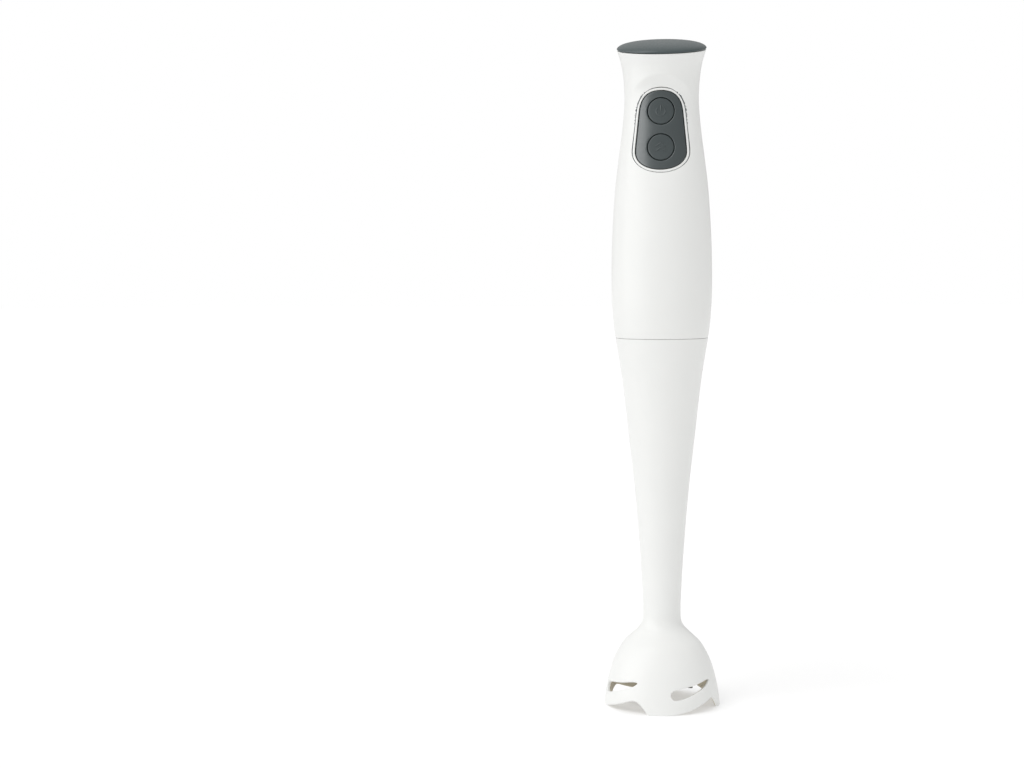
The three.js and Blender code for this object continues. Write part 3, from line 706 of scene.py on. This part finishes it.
def bore_profile(start):
    """From the tube's outside over the lip at the seam, past the bushes and into the bell."""
    meet = on_shaft(GUARD_TOP_Z, 0, GUARD_WALL)
    lip = (SHAFT_OUTLINE[-1][0], SEAM_Z - SEAM_GAP / 2, 0.35)
    corners = [
        start, lip, (23.5, 207.9), (23.5, 205.2), (20.7, 205.2), (20.7, 188), (18.6, 184.2, 1),
        (18.7, 174, 2), (14.4, 135, 4), (10.4, 92, 4), (8.3, 53), (5.3, 53), (5.3, 36), (7, 36),
        (7, 24), (9, 24, 0.8), (9, BELL_ROOF_Z, 1.2), (14.4, 37.6, 3), (19.2, 33.4, 4), (23, 28, 4),
        (-meet.y, meet.z),
    ]
    return [tuple(p) for p in rounded(corners, 0.4, False)[1:]]


def shaft_housing():
    bm = bmesh.new()
    sheet = guard_sheet()
    for quarter in range(QUARTERS):
        def placed(arc, z, depth, quarter=quarter):
            return on_guard(arc + quarter * QUARTER_WIDTH, z, depth)
        wall(bm, sheet, placed, GUARD_WALL, guard_seam)
    outside = [on_shaft(z, 0, 0) for z in [GUARD_TOP_Z, *shaft_heights()]]
    outer = [(-p.y, p.z) for p in outside]
    start = math.radians(QUARTER_START + GUARD_TURN)
    lathe(bm, outer + bore_profile(outer[-1]), QUARTERS * GUARD_COLUMNS, start=start)
    # Faces inside the bell get the darker, warmer material: painted shade on the inner walls.
    for face in bm.faces:
        middle = face.calc_center_median() / MM
        if middle.z < BELL_ROOF_Z - 0.1 and middle.xy.length < looked_up(SHAFT, middle.z) - 1.3:
            face.material_index = 1
    housing = piece("visual_shaft_housing", bm, "blending_shaft", "white_plastic", ["shaft_housing"])
    housing.data.materials.append(BELL_TINT_AND_SHADE)


def shaft_heights():
    """Heights of the tube's rows, closer together round the bell."""
    waist, top = 62, 207.4
    return steps_between(GUARD_TOP_Z, waist, 0.9)[1:] + steps_between(waist, top, 3)[1:]


# ---------------------------------------------------------------- handle shells
def on_shell(arc, z, depth):
    """A point on the leaned and scooped front shell; arc runs from the front's middle."""
    limit = math.pi / 2 - SPLIT_Y / handle_radius(z)
    azimuth = arc / HALF_ARC * limit
    r = handle_radius(z) - depth
    top = leaned(around(r, azimuth, z))
    if depth < WALL / 2:
        r -= scoop(top.x, top.z)
    return leaned(around(r, azimuth, z))


def flattened(point):
    """Where a point of the handle's front, at x and z, lies on the front shell's sheet."""
    x, z = point
    height = z
    for _ in range(6):  # closes in on the height before the lean
        r = handle_radius(height)
        azimuth = math.asin(x / r)
        height = z - smoothstep(height, LEAN_START_Z, RIM_Z) * LEAN * -r * math.cos(azimuth)
    limit = math.pi / 2 - SPLIT_Y / handle_radius(height)
    return Vector((azimuth / limit * HALF_ARC, height))


def bezier(a, b, c, d, steps=14):
    """Points on a cubic curve, without its last one."""
    a, b, c, d = Vector(a), Vector(b), Vector(c), Vector(d)
    points = []
    for i in range(steps):
        t = i / steps
        early = a * (1 - t) ** 3 + b * 3 * t * (1 - t) ** 2
        points.append(early + c * 3 * t * t * (1 - t) + d * t ** 3)
    return points


def panel_outline(grow, gap=0.6):
    """The panel's outline, an egg wider at the foot, walked with its inside on the left."""
    narrow, wide = SHOULDER_HALF + grow, HIP_HALF + grow
    top, toe = PANEL_TOP_Z + grow, PANEL_FOOT_Z - grow
    shoulder, hip = (narrow, SHOULDER_Z), (wide, HIP_Z)
    right = bezier((0, top), (narrow * 0.68, top), (narrow * 0.94, SHOULDER_Z + 7.3), shoulder)
    right += [Vector(shoulder).lerp(Vector(hip), i / 14) for i in range(14)]
    right += bezier(hip, (wide + 0.2, HIP_Z - 6), (wide * 0.62, toe), (0, toe))
    left = [Vector((-p.x, p.y)) for p in reversed(right[1:])]
    clockwise = evenly(relaxed(right + [Vector((0, toe))] + left, 2, True), gap, True)
    return list(reversed(clockwise))


def shell_border():
    low = SEAM_Z + SEAM_GAP / 2
    corners = [(-HALF_ARC, low), (HALF_ARC, low), (HALF_ARC, RIM_Z), (-HALF_ARC, RIM_Z)]
    return evenly([Vector(corner) for corner in corners], 1.4, True)


def shell_sheet(hole, hole_rim):
    """A half of the handle as a flat sheet with one opening, finer round the panel."""
    border = shell_border()
    lines = rim_lines(border, SHELL_RIM) + rim_lines(hole, hole_rim)
    fine_from = 283
    heights = steps_between(SEAM_Z, fine_from, 2.5) + steps_between(fine_from, RIM_Z, 0.9)[1:]
    grid = grid_points(-HALF_ARC, HALF_ARC, 1.25, heights)
    return triangulated(lines, border, [hole], grid, 0.5)


def front_shell():
    """The front half; the wall of the groove round the trim ring is dark grey: painted shade in the
    groove.
    """
    outline = panel_outline(BEZEL_W + PANEL_GAP + BEZEL_GAP)
    outline = [Vector((p.x * 1.015, p.y)) for p in outline]  # the wall curves away at the sides
    opening = [flattened(p) for p in reversed(outline)]
    bm = bmesh.new()
    wall(bm, shell_sheet(opening, 0.22), on_shell, WALL)
    # The groove's wall takes the dark grey as painted shade; the shell itself is white plastic.
    for face in bm.faces:
        middle = face.calc_center_median() / MM
        if inside(outline, Vector((middle.x * 1.002, middle.z))):
            face.material_index = 1
    shell = piece("visual_front_shell", bm, "motor_unit", "white_plastic", ["front_shell"])
    shell.data.materials.append(MATERIALS["soft_grey"])


def on_back(arc, z, depth):
    """A point on the leaned rear shell."""
    limit = math.pi / 2 - SPLIT_Y / handle_radius(z)
    azimuth = math.pi + arc / HALF_ARC * limit
    return leaned(around(handle_radius(z) - depth, azimuth, z))


def rear_shell():
    """The rear half, with the round hole for the cord's gland."""
    centre = GLAND_Z - 1.6  # the wall leans up here, so its flat sheet lies lower
    hole = [Vector((p.x * 1.17, centre + p.y * 0.97)) for p in circle(0, 0, GLAND_HOLE_R, 48)]
    bm = bmesh.new()
    wall(bm, shell_sheet(hole, 0.4), on_back, WALL)
    piece("visual_rear_shell", bm, "motor_unit", "white_plastic", ["rear_shell"])


def top_cap():
    """A low dome over the rim, with a skirt that holds it in the shells."""
    edge, skirt_out, skirt_in, skirt_foot = 24.9, 19.5, 17.6, 361
    base, seat = RIM_Z + 0.8, RIM_Z + 0.25
    dome = []
    for i in range(24):
        t = math.pi / 2 * i / 24
        dome.append((edge * math.cos(t) ** 0.72, base + (CROWN_Z - base) * math.sin(t)))
    dome.append((0, CROWN_Z))
    under = rounded([
        (0, 370.4), (14, 369.4, 1), (skirt_in, 368.2, 0.6), (skirt_in, skirt_foot),
        (skirt_out, skirt_foot), (skirt_out, seat), (edge - 0.45, seat, 0.3), dome[0],
    ], 0.3, False)
    profile = [tuple(p) for p in under] + dome[1:]
    bm = bmesh.new()
    lathe(bm, profile, 144, lambda r, a, z: leaned(around(r, a, z)))
    piece("visual_top_cap", bm, "motor_unit", "grey_plastic", ["top_cap"])


# ---------------------------------------------------------------- panel and buttons
def button_bezel():
    """The trim ring: a rounded bead that lies a little above the panel."""
    path = panel_outline(PANEL_GAP + BEZEL_W / 2)
    half, crown, side, back = BEZEL_W / 2 - 0.04, -0.1, 0.5, 3.2
    bead = []
    for i in range(11):
        t = math.pi * i / 10
        bead.append((half * math.cos(t), side + (crown - side) * math.sin(t) ** 0.6))
    section = bead + [(-half, back), (half, back)]
    bm = bmesh.new()
    tube(bm, path, section, lambda p, depth: on_front(p.x, p.y, depth), True)
    piece("visual_button_bezel", bm, "motor_unit", "white_plastic", ["button_bezel"])


def switch_panel():
    border = panel_outline(0)
    holes = [circle(0, z, HOLE_R) for z in (SPEED_Z, TURBO_Z)]
    lines = rim_lines(border, 0.7)
    for hole in holes:
        lines += rim_lines(hole, 0.55)
    half = HIP_HALF + 0.95
    grid = grid_points(-half, half, 0.9, steps_between(PANEL_FOOT_Z - 1, PANEL_TOP_Z + 0.8, 0.8))
    sheet = triangulated(lines, border, holes, grid, 0.4)
    bm = bmesh.new()
    wall(bm, sheet, lambda x, z, depth: on_front(x, z, PANEL_DEPTH + depth), PANEL_T)
    piece("visual_switch_panel", bm, "motor_unit", "grey_plastic", ["switch_panel"], PANEL_GREY)


def button_face(x, z, middle_z):
    """The front of a button: the panel's curve, dished a little towards its middle."""
    dish = DISH * (1 - min(1, math.hypot(x, z - middle_z) / BUTTON_R) ** 2)
    return on_front(x, z, PANEL_DEPTH + 0.12 + dish)


def push_button(name, z):
    """A round cap on a flange and a stem; the face and the flange follow the panel's curve."""
    stem_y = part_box(name)[1].y / MM
    spring_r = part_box(name.replace("button", "spring"))[1].x / MM
    bm = bmesh.new()
    rings = []
    for r, depth in face_rings():
        rings.append([button_face(x, h, z) + Vector((0, depth, 0)) for x, h in circle(0, z, r, 64)])
    for r, depth in flange_profile(spring_r):
        rings.append([on_front(x, h, PANEL_DEPTH + depth) for x, h in circle(0, z, r, 64)])
    for r in (STEM_R, STEM_END_R):
        rings.append([Vector((x, stem_y, h)) for x, h in circle(0, z, r, 64)])
    bridge(bm, [vertices(bm, ring) for ring in rings])
    piece("visual_" + name, bm, name, "soft_grey", [name])


def face_rings():
    """Radius and depth of the rings of a button's face, with its rounded edge."""
    edge = 0.55
    flat = [(MIDDLE_R + (BUTTON_R - edge) * i / 8, 0) for i in range(9)]
    curve = [(BUTTON_R - edge + edge * math.sin(t), edge - edge * math.cos(t))
             for t in (math.pi / 2 * i / 5 for i in range(1, 6))]
    return flat + curve


def flange_profile(spring_r):
    """Radius and depth of the flange, from the cap's side to the stem; its back seats the spring."""
    front = PANEL_T + 0.12
    seat_r = spring_r + SPRING_GAP
    seat = front + 0.35
    return rounded([
        (BUTTON_R, 1.5), (BUTTON_R, front), (FLANGE_R, front), (FLANGE_R, front + FLANGE_T),
        (seat_r, front + FLANGE_T), (seat_r, seat), (STEM_R, seat),
    ], 0.15, False, 3)


def relief(bm, path, middle_z, width=0.85, height=0.24):
    """A raised line on a button's face."""
    half = width / 2
    bead = [(half * math.cos(t), -height * math.sin(t)) for t in (math.pi * i / 6 for i in range(7))]
    section = bead + [(-half, 0.3), (half, 0.3)]

    def place(p, depth):
        return button_face(p.x, p.y, middle_z) + Vector((0, depth, 0))

    closed = (path[0] - path[-1]).length < 0.6
    tube(bm, path, section, place, closed)


def speed_mark():
    """A generic sign: an open ring with a bar in its gap."""
    bm = bmesh.new()
    ring_r, gap, bar_from, bar_length = 2.5, 38, 0.2, 3.0
    arc = [Vector((ring_r * math.sin(a), SPEED_Z + ring_r * math.cos(a)))
           for a in (math.radians(gap + (360 - 2 * gap) * i / 36) for i in range(37))]
    bar = [Vector((0, SPEED_Z + bar_from + bar_length * i / 6)) for i in range(7)]
    relief(bm, arc, SPEED_Z)
    relief(bm, bar, SPEED_Z)
    piece("visual_speed_mark", bm, "speed_button", "soft_grey")


def turbo_mark():
    """A generic sign for more speed: two chevrons."""
    bm = bmesh.new()
    half, rise = 2.7, 1.9
    for low in (TURBO_Z - 2.1, TURBO_Z + 0.5):
        keys = [Vector((-half, low)), Vector((0, low + rise)), Vector((half, low))]
        relief(bm, evenly(keys, 0.45), TURBO_Z)
    piece("visual_turbo_mark", bm, "turbo_button", "soft_grey")


# ---------------------------------------------------------------- blade
def blade():
    """Two swept wings on a plate, each ground to an edge on its leading side."""
    bm = bmesh.new()
    for side, tilt in enumerate(BLADE_TILTS):
        rows = []
        for i in range(25):
            u = i / 24
            x = BLADE_ROOT + u * BLADE_SPAN
            section = wing_section(u)
            rows.append(vertices(bm, [wing_point(x, y, h, side, tilt) for y, h in section]))
        capped(bm, rows)
    low, high = BLADE_Z, BLADE_Z + BLADE_T
    plate = [(SPINDLE_HOLE_R, low), (6.4, low), (6.4, high), (SPINDLE_HOLE_R, high)]
    lathe(bm, ring_profile(plate, 0.15), 72)
    # The darker steel is painted shade for the blade inside the bell.
    piece("visual_blade", bm, "spindle", "stainless", ["blade"], SHADED_BLADE_STEEL)


def wing_section(u):
    """A wing's section as (across, height), where u goes from 0 at the root to 1 at the tip."""
    lead = -5.3 + 4.6 * u ** 2.2
    trail = 5.2 - 3.6 * u ** 1.6
    round_from = 0.9
    if u > round_from:
        pinch = math.sqrt(max(0, 1 - ((u - round_from) / (1 - round_from)) ** 2))
        middle = (lead + trail) / 2
        lead, trail = middle + (lead - middle) * pinch, middle + (trail - middle) * pinch
    ground = min(2.6, (trail - lead) * 0.45) * smoothstep(u, 0.0, 0.25)
    blunt = 0.18
    return [
        (lead, 0.06), (lead + 0.04, 0.12), (lead + ground, BLADE_T - 0.03),
        (lead + ground + 0.1, BLADE_T), (trail - blunt, BLADE_T), (trail, BLADE_T - blunt),
        (trail, blunt), (trail - blunt, 0), (lead + 0.3, 0), (lead + 0.06, 0),
    ]


def wing_point(x, y, height, side, tilt):
    """A point of a wing, tilted beyond TILT_FROM and turned to its side."""
    angle = math.radians(tilt) if x > TILT_FROM else 0
    reach = x - TILT_FROM
    along = reach * math.cos(angle) - height * math.sin(angle)
    up = reach * math.sin(angle) + height * math.cos(angle)
    turn = math.radians(BLADE_AZIMUTH - 90 + 180 * side)
    return Matrix.Rotation(turn, 3, "Z") @ Vector((TILT_FROM + along, y, BLADE_Z + up))


def blade_hub():
    low, shoulder, high = 15.4, 18.5, 22.6
    profile = ring_profile([
        (SPINDLE_HOLE_R, low), (5.4, low), (5.4, shoulder), (4.4, high), (SPINDLE_HOLE_R, high),
    ])
    bm = bmesh.new()
    lathe(bm, profile, 64)
    piece("visual_blade_hub", bm, "spindle", "black_plastic", ["blade_hub"])


# ---------------------------------------------------------------- seal and cord inlet
def spigot_seal():
    ring = [(SEAL_R + SEAL_HALF_W * math.cos(t), SEAL_Z + SEAL_HALF_H * math.sin(t))
            for t in (TURN * i / 24 for i in range(24))]
    bm = bmesh.new()
    lathe(bm, ring + ring[:1])
    piece("visual_spigot_seal", bm, "seal_ring", "rubber", ["spigot_seal"])


def cord_gland():
    """A sleeve for the cord, with a flange inside the shell and a rounded collar outside."""
    bore, sleeve, inner, flange, wall_y, end = 3.3, 4.2, 14.6, 17, 21.2, 24.4
    profile = ring_profile([
        (bore, inner), (6, inner), (6, flange), (sleeve, flange), (sleeve, wall_y), (5.3, wall_y),
        (4.9, end), (bore, end),
    ], 0.3)

    def place(r, a, y):
        return Vector((r * math.sin(a), y, GLAND_Z + r * math.cos(a)))

    bm = bmesh.new()
    lathe(bm, profile, 64, place)
    piece("visual_cord_gland", bm, "motor_unit", "grey_plastic", ["cord_gland"])


# ---------------------------------------------------------------- carried-over nodes
SLOT_OF = {part["node"]: part["material_slot"] for part in frame["record"]["subparts"]}


def finish_cad_nodes():
    """Gives every CAD node its material, softened edges and smooth round faces."""
    for name, obj in frame["nodes"].items():
        obj.data.materials.clear()
        obj.data.materials.append(MATERIALS[SLOT_OF[name]])
        smooth_sharp(obj.data, 32)
        if obj.hide_render:
            continue
        bevel = obj.modifiers.new("edges", "BEVEL")
        bevel.width = SOFT_EDGE
        bevel.segments = 2
        bevel.limit_method = "ANGLE"
        bevel.angle_limit = math.radians(40)
    frame["nodes"]["armature_core"].data.materials[0] = LAMINATED


# ---------------------------------------------------------------- stage
CAMERA_DISTANCE = 1.05
CAMERA_HEIGHT = 0.255
CAMERA_LENS = 65.51
CAMERA_AZIMUTH = 1.25
CAMERA_DIP = 3.973
CAMERA_ROLL = 0.35
CAMERA_SWING = 4.582  # turned to the left of the blender, which stands right of the middle
MIDDLE = Vector((0, 0, 0.2))


def stage():
    floor_mesh = bmesh.new()
    bmesh.ops.create_grid(floor_mesh, x_segments=8, y_segments=8, size=8)
    mesh = bpy.data.meshes.new("floor")
    floor_mesh.to_mesh(mesh)
    floor_mesh.free()
    floor = bpy.data.objects.new("floor", mesh)
    bpy.context.scene.collection.objects.link(floor)
    material, tree, shader, where = start_material("floor")
    cloud = spread(tree, noise(tree, where, 0.3, 2), 0, 1)
    feed(tree, shader, Base_Color=blended(tree, cloud, (0.58, 0.58, 0.58, 1), (0.6, 0.6, 0.6, 1)))
    shader.inputs["Roughness"].default_value = 0.7
    shader.inputs["Emission Color"].default_value = (1, 1, 1, 1)
    shader.inputs["Emission Strength"].default_value = 0.42
    mesh.materials.append(material)


def reflector(azimuth, distance, side, power):
    """A large square card that shows in glossy faces only."""
    data = bpy.data.lights.new("card", "AREA")
    data.shape = "SQUARE"
    data.size = side
    data.energy = power
    light = bpy.data.objects.new("card", data)
    light.location = around(distance, math.radians(azimuth), 0.35)
    light.rotation_euler = (MIDDLE - light.location).to_track_quat("-Z", "Y").to_euler()
    light.visible_diffuse = False
    bpy.context.scene.collection.objects.link(light)


def world(seen, dim, bright, toward):
    """A white surround: seen plain, lit brightest from one direction."""
    scene = bpy.context.scene
    scene.world = bpy.data.worlds.new("surround")
    scene.world.use_nodes = True
    tree = scene.world.node_tree
    background = tree.nodes["Background"]
    background.inputs["Color"].default_value = (1, 1, 1, 1)
    direction = tree.nodes.new("ShaderNodeTexCoord").outputs["Generated"]
    inputs = {0: direction, 1: toward.normalized()}
    nearness = node(tree, "ShaderNodeVectorMath", inputs, operation="DOT_PRODUCT").outputs["Value"]
    lit = spread(tree, nearness, dim, bright, 0, 1)
    rays = tree.nodes.new("ShaderNodeLightPath")
    inputs = {0: rays.outputs["Is Camera Ray"], 3: lit, 4: seen}
    strength = node(tree, "ShaderNodeMapRange", inputs)
    tree.links.new(strength.outputs[0], background.inputs["Strength"])


def sun(azimuth, elevation, strength, angle):
    """A soft distant light; azimuth is counted from the front towards +X."""
    data = bpy.data.lights.new("key", "SUN")
    data.energy = strength
    data.angle = math.radians(angle)
    light = bpy.data.objects.new("key", data)
    height = math.radians(elevation)
    toward = around(math.cos(height), math.radians(azimuth), math.sin(height))
    light.rotation_euler = (-toward).to_track_quat("-Z", "Y").to_euler()
    bpy.context.scene.collection.objects.link(light)


def camera():
    data = bpy.data.cameras.new("camera")
    data.lens = CAMERA_LENS
    data.clip_start = 0.05
    data.clip_end = 30
    cam = bpy.data.objects.new("camera", data)
    cam.location = around(CAMERA_DISTANCE, math.radians(CAMERA_AZIMUTH), CAMERA_HEIGHT)
    aim = (90 - CAMERA_DIP, CAMERA_ROLL, CAMERA_AZIMUTH + CAMERA_SWING)
    cam.rotation_euler = [math.radians(angle) for angle in aim]
    bpy.context.scene.collection.objects.link(cam)
    bpy.context.scene.camera = cam


def lights():
    sun(azimuth=-50, elevation=55, strength=0.75, angle=30)
    reflector(azimuth=-66, distance=1.1, side=1.2, power=12.5)
    world(seen=1.0, dim=0.5, bright=1.05, toward=Vector((-0.3, -0.1, 1)))
    bpy.context.scene.view_settings.view_transform = "Standard"


camera()
shaft_housing()
front_shell()
rear_shell()
top_cap()
button_bezel()
switch_panel()
push_button("speed_button", SPEED_Z)
push_button("turbo_button", TURBO_Z)
speed_mark()
turbo_mark()
blade()
spigot_seal()
cord_gland()
blade_hub()
finish_cad_nodes()
stage()
lights()
